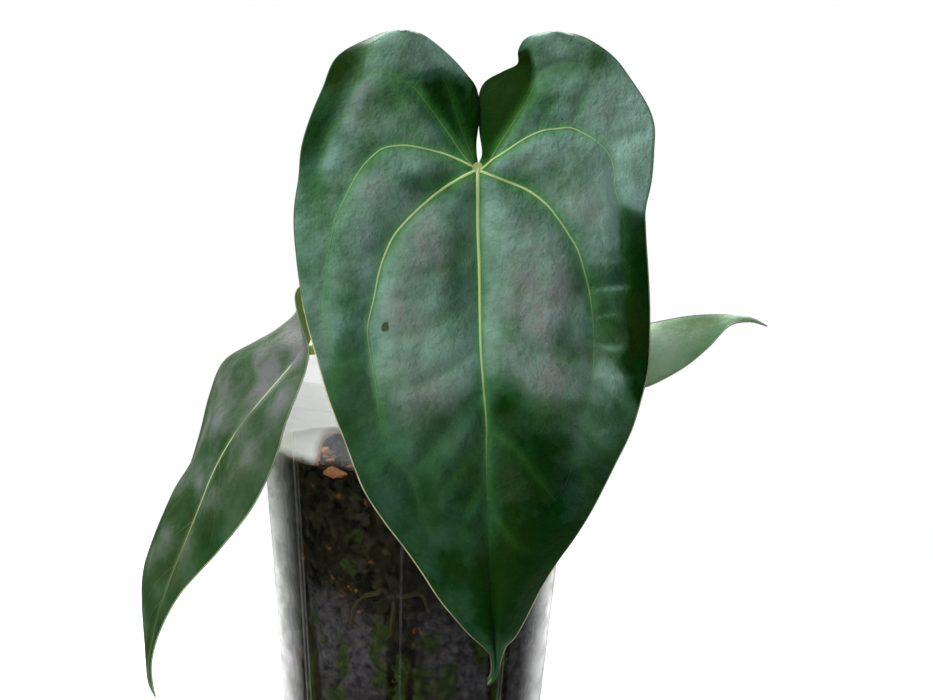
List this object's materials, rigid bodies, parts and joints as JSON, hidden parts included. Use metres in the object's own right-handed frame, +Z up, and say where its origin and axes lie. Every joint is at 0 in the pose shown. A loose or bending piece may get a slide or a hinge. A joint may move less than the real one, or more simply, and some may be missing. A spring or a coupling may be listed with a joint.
{
  "type": "potted anthurium",
  "caption": "Young anthurium with a large heart-shaped leaf facing the front and narrower leaves to both sides, rooted in bark mix in a tall, tapered clear nursery pot.",
  "frame": {"origin": "centre of the pot's underside", "axes": "+Z up along the pot's axis; -Y towards the front, the way the large leaf's upper face looks; +X to the right as seen from the front, towards the leaf that points right"},
  "size_m": [0.2586, 0.154, 0.2849],
  "materials": {
    "pot": "milky clear, slightly scuffed",
    "potting_mix": "damp bark and fibre",
    "bark": "rough",
    "dark_lump": "rough with pale specks",
    "stem_and_roots": "matt",
    "stalk": "satin",
    "blade_front": "velvety with a soft sheen",
    "blade_left": "satin",
    "blade_right": "satin"
  },
  "bodies": {
    "root": {"pot": "pot", "potting_mix": "potting_mix", "stem_with_roots": "stem_and_roots", "leaf_stalk_front": "stalk", "leaf_blade_front": "blade_front", "leaf_stalk_left": "stalk", "leaf_blade_left": "blade_left", "leaf_stalk_right": "stalk", "leaf_blade_right": "blade_right", "bark_chip_1": "bark", "bark_chip_2": "bark", "bark_chip_3": "bark", "bark_chip_4": "bark", "bark_chip_5": "bark", "bark_chip_6": "bark", "bark_chip_7": "bark", "bark_chip_8": "bark", "bark_chip_9": "bark", "dark_lump_1": "dark_lump", "dark_lump_2": "dark_lump", "dark_lump_3": "dark_lump"}
  },
  "joints": []
}
